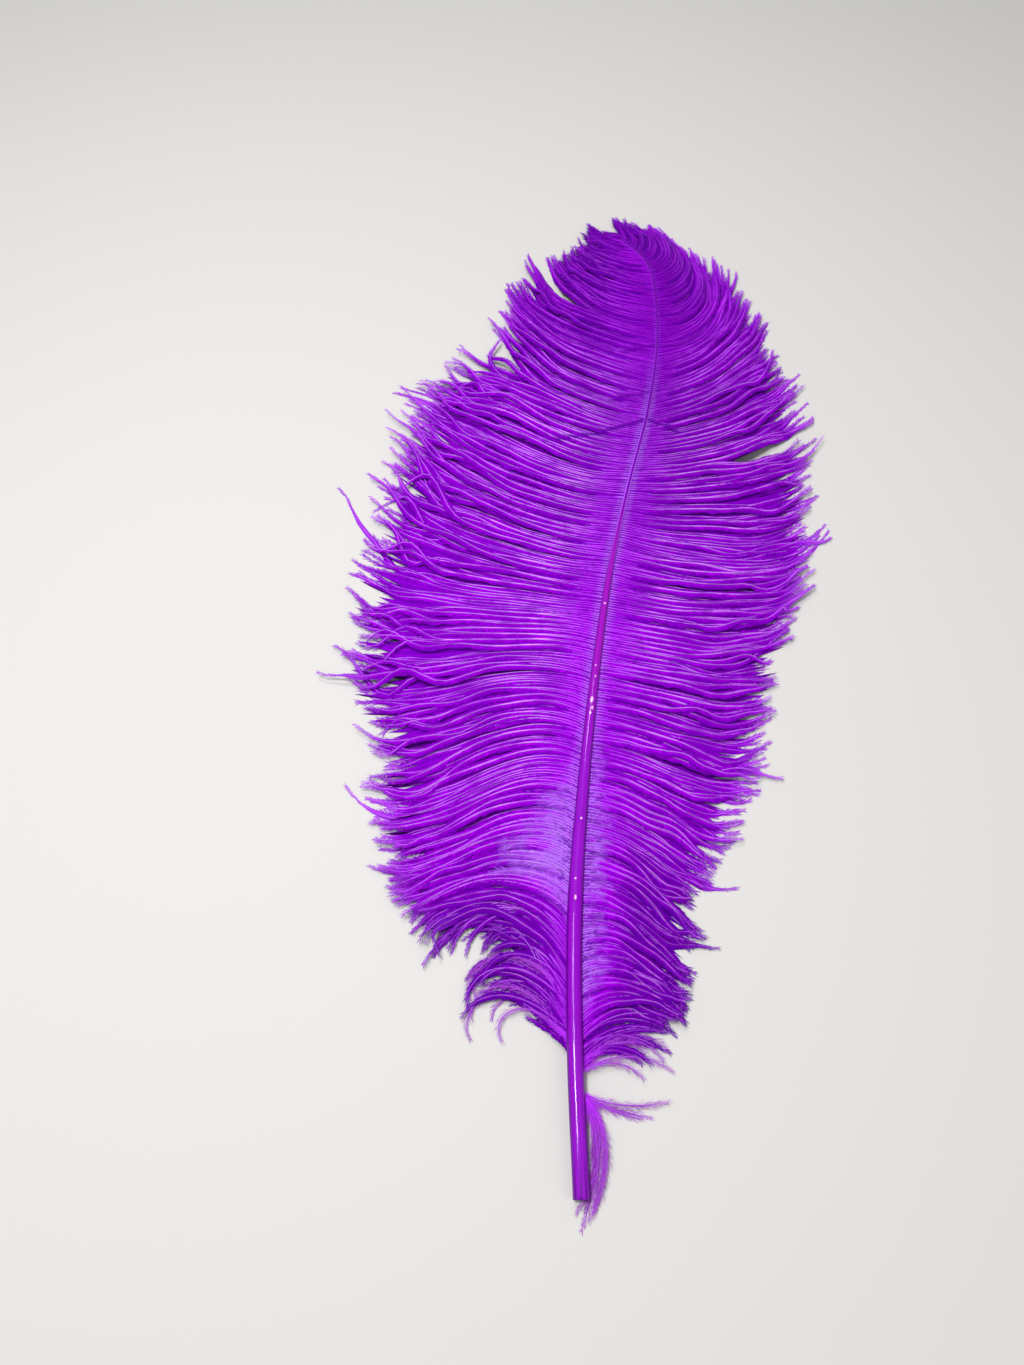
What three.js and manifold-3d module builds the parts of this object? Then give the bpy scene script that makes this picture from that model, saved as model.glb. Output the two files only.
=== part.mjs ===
// A dyed ostrich wing plume, lying with the smooth back of its shaft upwards.
// Millimetres, +Z up. The cut end of the quill points to -Y and the tip to +Y.
// The origin is under the middle of the plume, on the surface that it lies on.
// The quill, the shaft and both vanes grew as one piece, so they are one solid.
import * as THREE from "three";
import { mergeVertices } from "three/addons/utils/BufferGeometryUtils.js";
import Module from "manifold-3d";

const wasm = await Module();
wasm.setup();

// Shaft: the bare quill end lies on the surface, the middle arches over it, and the tip
// bends to the left and down. Points are the shaft's centre: right, along, height.
const QUILL_DIAMETER = 7;
const SHAFT_ROUTE = [
  [0, 0, 3.5],
  [-1, 58, 5.8],
  [0.5, 116, 11.5],
  [6, 174, 16.5],
  [13.5, 231, 19.5],
  [23, 289, 21.5],
  [35.5, 345, 22],
  [50, 402, 21.5],
  [59.5, 459, 20.5],
  [62, 517, 17],
  [57, 546, 12.5],
  [45, 571, 6],
];
const SHAFT_TIP_DIAMETER = 1.2;
const TAPER_START = 0.2; // share of the shaft that keeps the quill's diameter
const TAPER_POWER = 1.9;
const SHAFT_SIDES = 12;
const SHAFT_RINGS = 36;
const CREASED_LENGTH = 24; // dried end of the quill, creased lengthwise
const CREASE_DEPTH = 0.35;

// Barbs, base to tip of the shaft. "at" is the share of the shaft where a barb leaves it.
// Its heading is in degrees outwards from the direction of the shaft: as it leaves, halfway
// and at its end.
const RIGHT_VANE = {
  side: 1,
  stations: [
    { at: 0.1, length: 46, leave: 28, middle: 79, end: 121 },
    { at: 0.14, length: 57, leave: 46, middle: 110, end: 144 },
    { at: 0.2, length: 60, leave: 70, middle: 122, end: 120 },
    { at: 0.28, length: 70, leave: 80, middle: 112, end: 100 },
    { at: 0.36, length: 90, leave: 82, middle: 94, end: 60 },
    { at: 0.44, length: 106, leave: 90, middle: 78, end: 50 },
    { at: 0.54, length: 120, leave: 90, middle: 72, end: 32 },
    { at: 0.62, length: 122, leave: 70, middle: 50, end: 38 },
    { at: 0.7, length: 122, leave: 60, middle: 34, end: 25 },
    { at: 0.78, length: 120, leave: 70, middle: 18, end: 4 },
    { at: 0.84, length: 108, leave: 80, middle: 2, end: -20 },
    { at: 0.9, length: 85, leave: 73, middle: 0, end: -29 },
    { at: 0.95, length: 57, leave: 63, middle: 6, end: -20 },
    { at: 1, length: 26, leave: 44, middle: 15, end: 2 },
  ],
};
const LEFT_VANE = {
  side: -1,
  stations: [
    { at: 0.1, length: 46, leave: 40, middle: 28, end: 55 },
    { at: 0.125, length: 62, leave: 38, middle: 38, end: 115 },
    { at: 0.15, length: 82, leave: 32, middle: 72, end: 183 },
    { at: 0.175, length: 94, leave: 20, middle: 93, end: 150 },
    { at: 0.2, length: 91, leave: 34, middle: 105, end: 112 },
    { at: 0.25, length: 98, leave: 47, middle: 118, end: 80 },
    { at: 0.31, length: 107, leave: 58, middle: 120, end: 75 },
    { at: 0.36, length: 122, leave: 58, middle: 112, end: 85 },
    { at: 0.42, length: 140, leave: 75, middle: 98, end: 62 },
    { at: 0.5, length: 150, leave: 92, middle: 70, end: 60 },
    { at: 0.57, length: 154, leave: 98, middle: 64, end: 62 },
    { at: 0.61, length: 151, leave: 100, middle: 64, end: 76 },
    { at: 0.65, length: 148, leave: 98, middle: 65, end: 88 },
    { at: 0.68, length: 138, leave: 91, middle: 60, end: 68 },
    { at: 0.7, length: 128, leave: 86, middle: 53, end: 45 },
    { at: 0.77, length: 130, leave: 78, middle: 50, end: 32 },
    { at: 0.83, length: 112, leave: 80, middle: 40, end: 15 },
    { at: 0.88, length: 87, leave: 77, middle: 41, end: 7 },
    { at: 0.94, length: 53, leave: 63, middle: 29, end: 17 },
    { at: 1, length: 30, leave: 45, middle: 11, end: 7 },
  ],
};
const DROOP_POWER = 1.4; // how late along its length a barb bends down to the surface
const LIES_FROM = 0.86; // share of a barb beyond which it lies on the surface
const LYING_HEIGHT = 1;

// Locks: neighbouring barbs cling together into locks, which part from each other towards
// the edge of the vane and end in ragged points.
const LOCKS_PER_VANE = 28;
const FIRST_LOCK_AT = 0.115;
const LAST_LOCK_AT = 0.984;
const LOCK_STEPS = 8; // from the shaft to the point of a lock
const PARTING_STEP = 6; // where neighbouring locks part
const LOCK_HALF_WIDTH = 0.46; // in lock spacings, where the locks are joined
const LOCK_POINT_HALF_WIDTH = 0.2;
const LOCK_ROOT_THICKNESS = 1;
const LOCK_MIDDLE_THICKNESS = 4.8;
const LOCK_POINT_THICKNESS = 2.2;
const LOCK_THICK_FROM = 0.35; // share of a lock's length where it has its middle thickness
const LOCK_THINS_FROM = 0.6; // share beyond which it thins towards its point
const LOCK_EDGE_HEIGHT = 0.3; // of the edge of a lock over that of its crest
const LOCK_RAGGEDNESS = 0.06; // share by which the locks differ in length
const LOCK_VARIATION = 2.4; // turn from lock to lock of the wave that sets their lengths

// Loose wisps of down at the foot of the vanes.
const WISPS = [
  { side: 1, at: 0.07, length: 52, leave: 130, middle: 176, end: 192, width: 9 },
  { side: 1, at: 0.075, length: 40, leave: 80, middle: 118, end: 100, width: 6 },
  { side: 1, at: 0.085, length: 42, leave: 55, middle: 90, end: 128, width: 6 },
  { side: -1, at: 0.12, length: 78, leave: 35, middle: 88, end: 190, width: 8 },
];
const WISP_THICKNESS = 2.4;
const WISP_STEPS = 8;
const WISP_SWELL = [0.12, 0.95]; // part of a half wave that a wisp's width follows
const LENS_SHOULDER = 0.45; // half width of the flat top of a wisp's section

const shaftCurve = new THREE.CatmullRomCurve3(
  SHAFT_ROUTE.map((point) => new THREE.Vector3(...point)),
  false,
  "catmullrom",
);
const UP = new THREE.Vector3(0, 0, 1);
const LENS = [
  [-1, 0],
  [-LENS_SHOULDER, 1],
  [LENS_SHOULDER, 1],
  [1, 0],
  [LENS_SHOULDER, -1],
  [-LENS_SHOULDER, -1],
];

// Closed surface through rings of points that all have the same count, with flat ends.
function loft(rings) {
  const count = rings[0].length;
  const points = rings.flat().concat(rings[0], rings[rings.length - 1]);
  const faces = [];
  for (let ring = 0; ring < rings.length - 1; ring++) {
    for (let i = 0; i < count; i++) {
      const a = ring * count + i;
      const b = ring * count + ((i + 1) % count);
      faces.push(a, b, a + count, b, b + count, a + count);
    }
  }
  const first = rings.length * count;
  const last = first + count;
  for (let i = 1; i < count - 1; i++) {
    faces.push(first, first + i + 1, first + i);
    faces.push(last, last + i, last + i + 1);
  }
  const geometry = new THREE.BufferGeometry().setFromPoints(points);
  geometry.setIndex(faces);
  return geometry;
}

function toSolid(geometry) {
  const merged = mergeVertices(geometry);
  return new wasm.Manifold(
    new wasm.Mesh({
      numProp: 3,
      vertProperties: new Float32Array(merged.attributes.position.array),
      triVerts: new Uint32Array(merged.index.array),
    }),
  );
}

function toGeometry(solid) {
  const mesh = solid.getMesh();
  const geometry = new THREE.BufferGeometry();
  geometry.setAttribute("position", new THREE.BufferAttribute(mesh.vertProperties, 3));
  geometry.setIndex(new THREE.BufferAttribute(mesh.triVerts, 1));
  return geometry;
}

function shaftDiameter(at) {
  const tapered = Math.max(0, (at - TAPER_START) / (1 - TAPER_START));
  const share = (1 - tapered) ** TAPER_POWER;
  return SHAFT_TIP_DIAMETER + (QUILL_DIAMETER - SHAFT_TIP_DIAMETER) * share;
}

// Round section, square to the shaft, with lengthwise creases near the cut end.
function shaftRing(at) {
  const centre = shaftCurve.getPointAt(at);
  const along = shaftCurve.getTangentAt(at);
  const across = new THREE.Vector3().crossVectors(along, UP).normalize();
  const over = new THREE.Vector3().crossVectors(across, along);
  const fromEnd = at * shaftCurve.getLength();
  const crease = CREASE_DEPTH * Math.max(0, 1 - fromEnd / CREASED_LENGTH);
  const ring = [];
  for (let i = 0; i < SHAFT_SIDES; i++) {
    const turn = (i / SHAFT_SIDES) * 2 * Math.PI;
    const radius = shaftDiameter(at) / 2 - (i % 2 === 0 ? crease : 0);
    const point = centre.clone();
    point.addScaledVector(across, -radius * Math.cos(turn));
    point.addScaledVector(over, radius * Math.sin(turn));
    ring.push(point);
  }
  return ring;
}

function shaftSolid() {
  const rings = [];
  for (let i = 0; i <= SHAFT_RINGS; i++) {
    rings.push(shaftRing(i / SHAFT_RINGS));
  }
  return toSolid(loft(rings));
}

// Values of a barb that leaves the shaft between two stations.
function stationAt(vane, at) {
  const stations = vane.stations;
  let next = stations.findIndex((station) => station.at >= at);
  next = next < 0 ? stations.length - 1 : Math.max(1, next);
  const before = stations[next - 1];
  const after = stations[next];
  const share = THREE.MathUtils.clamp((at - before.at) / (after.at - before.at), 0, 1);
  const blended = { side: vane.side, at };
  for (const name of ["length", "leave", "middle", "end"]) {
    blended[name] = THREE.MathUtils.lerp(before[name], after[name], share);
  }
  return blended;
}

// Heading of a barb at a share of its length: the parabola through its three headings.
function barbHeading(barb, share) {
  const leaving = barb.leave * (1 - share) * (1 - 2 * share);
  const halfway = barb.middle * 4 * share * (1 - share);
  const ending = barb.end * share * (2 * share - 1);
  return THREE.MathUtils.degToRad(leaving + halfway + ending);
}

// Walks along a barb from the shaft, turning as it goes and bending down to the surface.
function barbPath(barb, steps) {
  const root = shaftCurve.getPointAt(barb.at);
  const shaftWay = shaftCurve.getTangentAt(barb.at).setZ(0).normalize();
  const points = [root.clone()];
  const place = root.clone();
  for (let step = 1; step <= steps; step++) {
    const turn = -barb.side * barbHeading(barb, (step - 0.5) / steps);
    const way = shaftWay.clone().applyAxisAngle(UP, turn);
    place.addScaledVector(way, barb.length / steps);
    const fall = Math.min(1, step / steps / LIES_FROM) ** DROOP_POWER;
    const point = place.clone();
    point.z = THREE.MathUtils.lerp(root.z, LYING_HEIGHT, fall);
    points.push(point);
  }
  return points;
}

function lockThickness(share) {
  const rise = THREE.MathUtils.smoothstep(share, 0, LOCK_THICK_FROM);
  const fall = THREE.MathUtils.smoothstep(share, LOCK_THINS_FROM, 1);
  const risen = THREE.MathUtils.lerp(LOCK_ROOT_THICKNESS, LOCK_MIDDLE_THICKNESS, rise);
  return THREE.MathUtils.lerp(risen, LOCK_POINT_THICKNESS, fall);
}

// Top and underside of one place on a lock. "line" is -1, 0 or 1: the edge towards the
// quill, the crest, and the edge towards the tip of the shaft.
function lockPlace(vane, number, line, step) {
  const share = step / LOCK_STEPS;
  const spacing = (LAST_LOCK_AT - FIRST_LOCK_AT) / (LOCKS_PER_VANE - 1);
  const closing = THREE.MathUtils.smoothstep(share, PARTING_STEP / LOCK_STEPS, 1);
  const halfWidth = THREE.MathUtils.lerp(LOCK_HALF_WIDTH, LOCK_POINT_HALF_WIDTH, closing);
  const at = FIRST_LOCK_AT + (number + line * halfWidth) * spacing;
  const barb = stationAt(vane, Math.min(1, at));
  barb.length *= 1 + LOCK_RAGGEDNESS * Math.sin(number * LOCK_VARIATION + vane.side);
  const middle = barbPath(barb, LOCK_STEPS)[step];
  const half = lockThickness(share) / 2;
  const top = middle.clone().setZ(middle.z + half * (line === 0 ? 1 : LOCK_EDGE_HEIGHT));
  const under = middle.clone().setZ(Math.max(0, middle.z - half));
  return { top, under };
}

// Both vanes are one sheet of cells: across the locks from the quill to the tip, and along
// them from the left points over the shaft to the right points. Beyond the parting step
// the cells between two locks are left out.
function vanesSolid() {
  const lines = [];
  for (let number = 0; number < LOCKS_PER_VANE; number++) {
    for (const line of [-1, 0, 1]) {
      const places = [];
      for (let step = -LOCK_STEPS; step <= LOCK_STEPS; step++) {
        const vane = step < 0 ? LEFT_VANE : RIGHT_VANE;
        places.push(lockPlace(vane, number, line, Math.abs(step)));
      }
      lines.push(places);
    }
  }
  const isCell = (i, j) => {
    if (i < 0 || j < 0 || i >= lines.length - 1 || j >= 2 * LOCK_STEPS) {
      return false;
    }
    const betweenLocks = i % 3 === 2;
    const furthestStep = Math.max(Math.abs(j - LOCK_STEPS), Math.abs(j + 1 - LOCK_STEPS));
    return !betweenLocks || furthestStep <= PARTING_STEP;
  };
  const points = [];
  const addQuad = (...corners) => {
    const [a, b, c, d] = corners;
    points.push(a, b, c, a, c, d);
  };
  for (let i = 0; i < lines.length - 1; i++) {
    for (let j = 0; j < 2 * LOCK_STEPS; j++) {
      if (!isCell(i, j)) {
        continue;
      }
      const corners = [lines[i][j], lines[i][j + 1], lines[i + 1][j + 1], lines[i + 1][j]];
      const beyond = [isCell(i - 1, j), isCell(i, j + 1), isCell(i + 1, j), isCell(i, j - 1)];
      addQuad(...corners.map((corner) => corner.top));
      addQuad(...corners.map((corner) => corner.under).reverse());
      beyond.forEach((joined, side) => {
        const from = corners[side];
        const to = corners[(side + 1) % 4];
        if (!joined) {
          addQuad(to.top, from.top, from.under, to.under);
        }
      });
    }
  }
  return toSolid(new THREE.BufferGeometry().setFromPoints(points));
}

// Six-sided lens section, level from side to side, with its underside no lower than the
// surface that the plume lies on.
function lensRing(path, i, width, thickness) {
  const before = path[Math.max(0, i - 1)];
  const after = path[Math.min(path.length - 1, i + 1)];
  const across = after.clone().sub(before).setZ(0).normalize().cross(UP);
  return LENS.map(([sideways, upwards]) => {
    const point = path[i].clone().addScaledVector(across, (sideways * width) / 2);
    point.z = Math.max(0, point.z + (upwards * thickness) / 2);
    return point;
  });
}

function wispSolid(wisp) {
  const path = barbPath(wisp, WISP_STEPS);
  const rings = path.map((point, i) => {
    const swell = Math.sin(Math.PI * THREE.MathUtils.lerp(...WISP_SWELL, i / WISP_STEPS));
    return lensRing(path, i, wisp.width * swell, WISP_THICKNESS * swell);
  });
  return toSolid(loft(rings));
}

function featherGeometry() {
  let feather = shaftSolid().add(vanesSolid());
  for (const wisp of WISPS) {
    feather = feather.add(wispSolid(wisp));
  }
  return toGeometry(feather);
}

function dyedFeatherMaterial() {
  return new THREE.MeshStandardMaterial({ color: 0x8a1fd6, roughness: 0.6, metalness: 0 });
}

const feather = new THREE.Mesh(featherGeometry(), dyedFeatherMaterial());
feather.name = "feather";

const box = new THREE.Box3().setFromObject(feather);
const middle = box.getCenter(new THREE.Vector3());
feather.position.set(-middle.x, -middle.y, -box.min.z);

const plume = new THREE.Group();
plume.add(feather);

export default plume;
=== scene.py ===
import bpy
import numpy as np
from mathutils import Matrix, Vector


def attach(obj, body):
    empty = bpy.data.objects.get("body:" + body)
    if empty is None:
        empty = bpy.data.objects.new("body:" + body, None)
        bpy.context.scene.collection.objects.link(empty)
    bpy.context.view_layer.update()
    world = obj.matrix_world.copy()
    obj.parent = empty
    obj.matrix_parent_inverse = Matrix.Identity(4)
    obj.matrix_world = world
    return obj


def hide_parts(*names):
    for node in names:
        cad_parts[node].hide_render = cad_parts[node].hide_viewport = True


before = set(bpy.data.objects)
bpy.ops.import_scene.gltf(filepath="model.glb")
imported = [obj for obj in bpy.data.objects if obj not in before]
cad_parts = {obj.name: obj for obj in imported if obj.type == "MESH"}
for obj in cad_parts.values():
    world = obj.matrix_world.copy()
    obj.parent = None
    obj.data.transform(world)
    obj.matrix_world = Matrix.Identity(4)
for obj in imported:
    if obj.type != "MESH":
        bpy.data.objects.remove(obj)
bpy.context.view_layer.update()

# Studio: a pale floor that the plume lies on, soft lights overhead from the left and from
# beyond the tip, a weaker one from the right, and a camera that looks steeply down along the
# plume. Everything is worked out in millimetres and made in metres.
MM = 0.001
CAMERA_PLACE = (-41.3, -315.3, 457)
CAMERA_LOOKS_DOWN = 60.7  # degrees below the horizon
LENS_PER_FRAME_HEIGHT = 1025 / 1365
SENSOR_SIZE = 36  # along the frame's longer side
NEAREST_SEEN = 10
FLOOR_SIZE = 6000
FLOOR_COLOUR = (0.60, 0.59, 0.57)
FLOOR_ROUGHNESS = 0.7
WORLD_COLOUR = (1.0, 0.98, 1.0)
WORLD_STRENGTH = 0.42
LIGHTS = {
    "key_light": {"place": (-330, -160, 1080), "size": 200, "power": 9.0},
    "back_light": {"place": (-260, 420, 1080), "size": 180, "power": 4.0},
    "fill_light": {"place": (700, -500, 800), "size": 800, "power": 1.4},
}


class Wire:
    """One output of a shader node. Python's operators on it add Math nodes."""

    def __init__(self, tree, socket):
        self.tree = tree
        self.socket = socket

    def node(self, kind, settings, sockets, output=0):
        """Adds a node of that kind: its settings are set first, then its sockets."""
        made = self.tree.nodes.new(kind)
        for name, value in settings.items():
            setattr(made, name, value)
        for name, value in sockets.items():
            if isinstance(value, Wire):
                self.tree.links.new(value.socket, made.inputs[name])
            else:
                made.inputs[name].default_value = value
        return Wire(self.tree, made.outputs[output])

    def kept(self, *names):
        """The values that the mesh keeps on its points by these names."""
        kind = "ShaderNodeAttribute"
        return [self.node(kind, {"attribute_name": name}, {}, output=2) for name in names]

    def math(self, operation, *values):
        return self.node("ShaderNodeMath", {"operation": operation}, dict(enumerate(values)))

    def __add__(self, other):
        return self.math("ADD", self, other)

    __radd__ = __add__

    def __sub__(self, other):
        return self.math("SUBTRACT", self, other)

    def __rsub__(self, other):
        return self.math("SUBTRACT", other, self)

    def __mul__(self, other):
        return self.math("MULTIPLY", self, other)

    __rmul__ = __mul__

    def __truediv__(self, other):
        return self.math("DIVIDE", self, other)

    def __rtruediv__(self, other):
        return self.math("DIVIDE", other, self)

    def __abs__(self):
        return self.math("ABSOLUTE", self)

    def most(self, other):
        return self.math("MAXIMUM", self, other)

    def rises(self, start, stop):
        """0 below start and 1 above stop, smooth between them."""
        return self.node(
            "ShaderNodeMapRange",
            {"interpolation_type": "SMOOTHSTEP"},
            {"Value": self, "From Min": start, "From Max": stop},
        )

    def chooses(self, low, high):
        """The colour low where this value is 0 and high where it is 1."""
        return self.node(
            "ShaderNodeMix",
            {"data_type": "RGBA"},
            {0: self, 6: low, 7: high},
            output=2,
        )


def rgb(red, green, blue):
    return (red, green, blue, 1.0)


def new_material(name):
    """A material, its shader, and a wire to build expressions from."""
    material = bpy.data.materials.new(name)
    material.use_nodes = True
    tree = material.node_tree
    shader = tree.nodes["Principled BSDF"]
    return material, shader, Wire(tree, None)


def feed(shader, name, wire):
    """Links a wire to one of the shader's sockets."""
    wire.tree.links.new(wire.socket, shader.inputs[name])


def set_all_over(shader, constants):
    """Sets what is the same all over a surface on the shader's own sockets."""
    for name, value in constants.items():
        shader.inputs[name].default_value = value


scene = bpy.context.scene
scene.view_settings.view_transform = "Standard"

world = bpy.data.worlds.new("studio")
world.use_nodes = True
sky = world.node_tree.nodes["Background"]
set_all_over(sky, {"Color": rgb(*WORLD_COLOUR), "Strength": WORLD_STRENGTH})
scene.world = world

lens = bpy.data.cameras.new("camera")
lens.sensor_width = SENSOR_SIZE
lens.lens = SENSOR_SIZE * LENS_PER_FRAME_HEIGHT
lens.clip_start = NEAREST_SEEN * MM
camera = bpy.data.objects.new("camera", lens)
camera.location = np.multiply(CAMERA_PLACE, MM)
camera.rotation_euler = (np.radians(90 - CAMERA_LOOKS_DOWN), 0, 0)
scene.collection.objects.link(camera)
scene.camera = camera

for light_name, light in LIGHTS.items():
    lamp = bpy.data.lights.new(light_name, "AREA")
    lamp.size = light["size"] * MM
    lamp.energy = light["power"]
    holder = bpy.data.objects.new(light_name, lamp)
    holder.location = np.multiply(light["place"], MM)
    holder.rotation_euler = Vector(light["place"]).to_track_quat("Z", "Y").to_euler()
    scene.collection.objects.link(holder)

half = FLOOR_SIZE / 2 * MM
floor_mesh = bpy.data.meshes.new("floor")
floor_corners = [(-half, -half, 0), (half, -half, 0), (half, half, 0), (-half, half, 0)]
floor_mesh.from_pydata(floor_corners, [], [(0, 1, 2, 3)])
floor = bpy.data.objects.new("floor", floor_mesh)
scene.collection.objects.link(floor)
floor_material, floor_shader, _ = new_material("pale floor")
set_all_over(floor_shader, {"Base Color": rgb(*FLOOR_COLOUR), "Roughness": FLOOR_ROUGHNESS})
floor_mesh.materials.append(floor_material)


# Shaft: one tapering tube of horn, round and glossy at the bare quill and thin as a wire at
# the tip. It was cut off square at the quill end, where it dried and creased lengthwise.
# Dyed magenta purple, with the dye knocked off in a few small chips.
QUILL_END = np.array([-13.793, -295.39, 0])  # where the route starts in the plume's frame
SHAFT_ROUTE = [
    (0, 0, 3.5),
    (-1, 58, 5.8),
    (0.5, 116, 11.5),
    (6, 174, 16.5),
    (13.5, 231, 19.5),
    (23, 289, 21.5),
    (35.5, 345, 22),
    (50, 402, 21.5),
    (59.5, 459, 20.5),
    (62, 517, 17),
    (57, 546, 12.5),
    (45, 571, 6),
]
QUILL_WIDTH = 7
SHAFT_TIP_WIDTH = 0.9
TAPER_START = 0.2
TAPER_POWER = 1.9
SHAFT_SIDES = 32
SHAFT_RINGS = 220
RINGS_CROWD = 1.15  # above 1 they stand closer towards the quill
TIP_ROUNDING = 0.1  # share of the tip's width that is left at its very end
CREASES = 9
CREASES_START = 0.8  # how far they are turned round the quill
CREASED_LENGTH = 24
CREASE_DEPTH = 0.4
QUILL_WALL = 0.7
QUILL_HOLLOW_DEPTH = 7
# Rings over the rim and down the hollow: shares of its depth and of the wall's thickness.
RIM_RINGS = [(0, 0.35), (0, 1), (0.35, 1), (1, 1)]
SHORT_WAY = 0.004  # share of the shaft over which its direction is taken


def smooth_route(points, per_stretch=60):
    """Close points on the smooth curve through the given ones."""
    points = np.array(points, float)
    ends = np.vstack([2 * points[0] - points[1], points, 2 * points[-1] - points[-2]])
    share = np.linspace(0, 1, per_stretch, endpoint=False)[:, None]
    stretches = []
    for before, start, stop, after in zip(ends, ends[1:], ends[2:], ends[3:]):
        leaving = (stop - before) / 2
        arriving = (after - start) / 2
        stretches.append(
            (2 * share**3 - 3 * share**2 + 1) * start
            + (share**3 - 2 * share**2 + share) * leaving
            + (3 * share**2 - 2 * share**3) * stop
            + (share**3 - share**2) * arriving
        )
    stretches.append(points[-1:])
    return np.vstack(stretches)


shaft_line = smooth_route(SHAFT_ROUTE) + QUILL_END
shaft_run = np.r_[0, np.cumsum(np.linalg.norm(np.diff(shaft_line, axis=0), axis=1))]
shaft_length = shaft_run[-1]


def on_shaft(at):
    """The middle of the shaft at a share of its length from the cut end."""
    return np.stack([np.interp(at * shaft_length, shaft_run, axis) for axis in shaft_line.T], -1)


def shaft_ahead(at):
    """The way from just before a place on the shaft to just after it."""
    return on_shaft(np.minimum(at + SHORT_WAY, 1)) - on_shaft(np.maximum(at - SHORT_WAY, 0))


def shaft_width(at):
    tapered = np.clip((at - TAPER_START) / (1 - TAPER_START), 0, 1)
    return SHAFT_TIP_WIDTH + (QUILL_WIDTH - SHAFT_TIP_WIDTH) * (1 - tapered) ** TAPER_POWER


def unit(vectors):
    return vectors / np.maximum(np.linalg.norm(vectors, axis=-1, keepdims=True), 1e-9)


def add_piece(name, points, faces, values, material, chart=None):
    """A mesh from points in millimetres, with values kept on its points by name. It stands
    for the plume's solid and rides with it. A chart lays its points out flat."""
    mesh = bpy.data.meshes.new(name)
    corners = np.concatenate([face.ravel() for face in faces]).astype(np.int32)
    sizes = np.concatenate([np.full(len(face), face.shape[1]) for face in faces])
    mesh.vertices.add(len(points))
    mesh.vertices.foreach_set("co", (points * MM).astype(np.float32).ravel())
    mesh.loops.add(len(corners))
    mesh.loops.foreach_set("vertex_index", corners)
    mesh.polygons.add(len(sizes))
    mesh.polygons.foreach_set("loop_start", (np.cumsum(sizes) - sizes).astype(np.int32))
    for value_name, value in values.items():
        kept = mesh.attributes.new(value_name, "FLOAT", "POINT")
        kept.data.foreach_set("value", value.astype(np.float32).ravel())
    if chart is not None:
        layer = mesh.uv_layers.new(name="OFBake")
        layer.data.foreach_set("uv", chart[corners].astype(np.float32).ravel())
    mesh.polygons.foreach_set("use_smooth", np.ones(len(sizes), bool))
    mesh.update(calc_edges=True)
    mesh.materials.append(material)
    piece = bpy.data.objects.new(name, mesh)
    scene.collection.objects.link(piece)
    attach(piece, "root")
    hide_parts("feather")


def tube_faces(rings, sides):
    """Quads of a tube whose rings of points follow each other."""
    ring = np.arange(rings - 1)[:, None] * sides
    side = np.arange(sides)
    after = (side + 1) % sides
    corners = [ring + side, ring + after, ring + sides + after, ring + sides + side]
    return np.stack(corners, -1).reshape(-1, 4)


def shaft_points():
    """Rings of the outside from the tip back to the cut end, then in over the rim and down
    the hollow to the dry pith."""
    depth, wall = np.array(RIM_RINGS).T
    at = np.linspace(1, 0, SHAFT_RINGS) ** RINGS_CROWD
    at = np.r_[at, depth * QUILL_HOLLOW_DEPTH / shaft_length]
    radius = shaft_width(at) / 2
    radius[SHAFT_RINGS:] -= wall * QUILL_WALL
    radius[0] = SHAFT_TIP_WIDTH * TIP_ROUNDING
    middle = on_shaft(at)
    along = unit(shaft_ahead(at))
    across = unit(np.cross(along, (0, 0, 1)))
    over = np.cross(across, along)
    turn = np.linspace(0, 2 * np.pi, SHAFT_SIDES, endpoint=False)
    fading = np.clip(1 - at * shaft_length / CREASED_LENGTH, 0, 1)[:, None]
    crease = CREASE_DEPTH * fading * (0.5 + 0.5 * np.cos(CREASES * turn + CREASES_START)) ** 2
    reach = radius[:, None] - crease
    points = (
        middle[:, None]
        + across[:, None] * (reach * np.sin(turn))[..., None]
        + over[:, None] * (reach * np.cos(turn))[..., None]
    )
    values = {
        "along": np.repeat(at, SHAFT_SIDES),
        "across": np.tile(np.sin(turn), len(at)),
        "over": np.tile(np.cos(turn), len(at)),
        "crease": crease / CREASE_DEPTH,
        "inside": np.repeat(np.arange(len(at)) > SHAFT_RINGS, SHAFT_SIDES),
    }
    return points.reshape(-1, 3), values, len(at)


# Chips in the dye: share of the shaft, place across it from -1 to 1, length in millimetres, and
# width as a share of half the shaft's.
CHIPS = [
    (0.4674, 0.05, 0.7, 0.30),
    (0.4049, -0.15, 0.5, 0.20),
    (0.3946, 0.10, 0.5, 0.20),
    (0.3725, -0.10, 1.8, 0.34),
    (0.3650, 0.20, 1.1, 0.24),
    (0.3600, -0.05, 0.7, 0.22),
    (0.2686, 0.10, 0.6, 0.18),
    (0.2206, -0.15, 0.5, 0.16),
    (0.2060, -0.05, 1.4, 0.15),
]
HORN_COLOUR = rgb(0.27, 0.0, 0.52)
HORN_UPPER_COLOUR = rgb(0.29, 0.0, 0.43)
# Stains, and painted shade at the shaft's edges and in its creases.
HORN_STAIN_AND_SHADE_COLOUR = rgb(0.09, 0.0, 0.20)
RIDGE_COLOUR = rgb(0.46, 0.10, 0.90)
GROOVE_SHADE_COLOUR = rgb(0.09, 0.0, 0.28)
CHIP_COLOUR = rgb(0.80, 0.46, 0.72)
PITH_COLOUR = rgb(0.36, 0.10, 0.38)
HORN_GLOSS = {"IOR": 1.54, "Specular IOR Level": 0.05, "Coat Roughness": 0.03}
HORN_BUMP = {"Strength": 0.2, "Distance": 0.15 * MM}


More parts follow.
